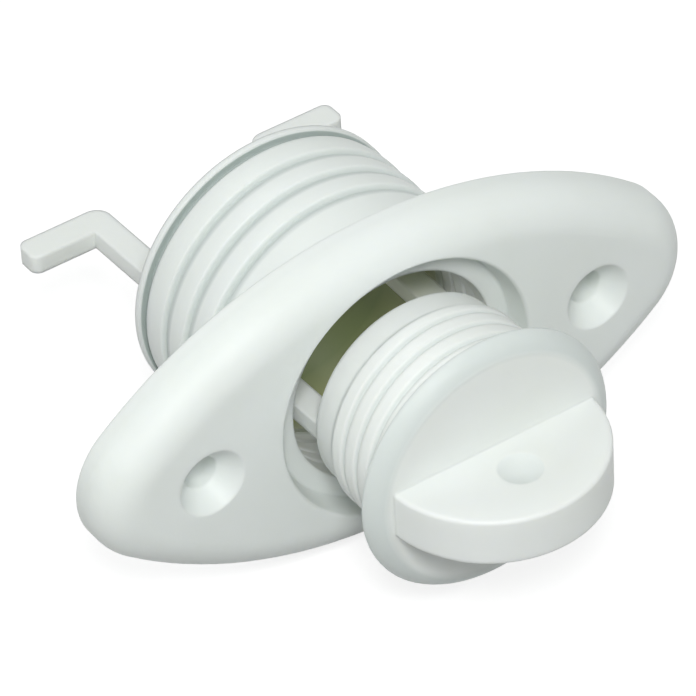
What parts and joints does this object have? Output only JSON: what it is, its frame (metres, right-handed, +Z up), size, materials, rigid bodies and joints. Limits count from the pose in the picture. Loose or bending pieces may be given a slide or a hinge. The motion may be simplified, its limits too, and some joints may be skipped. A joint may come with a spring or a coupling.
{
  "type": "captive drain plug",
  "caption": "White plastic drain plug for a boat: an oval screw-on flange with a ribbed tube and a threaded plug kept captive by two hooked legs.",
  "frame": {"origin": "on the bore's axis, in the plane of the flange's flat back, which beds on the hull", "axes": "+X along the flange's long way, +Y along the bore from the flange into the hull, +Z up across the flange"},
  "size_m": [0.0852, 0.082, 0.044],
  "materials": {
    "white_plastic": "satin"
  },
  "bodies": {
    "socket": {"socket": "white_plastic"},
    "plug": {"plug": "white_plastic"}
  },
  "joints": [
    {"name": "plug_travel", "type": "slide", "parent": "socket", "child": "plug", "axis": [0, 1, 0], "range_m": [-0.0166, 0.0161]}
  ]
}
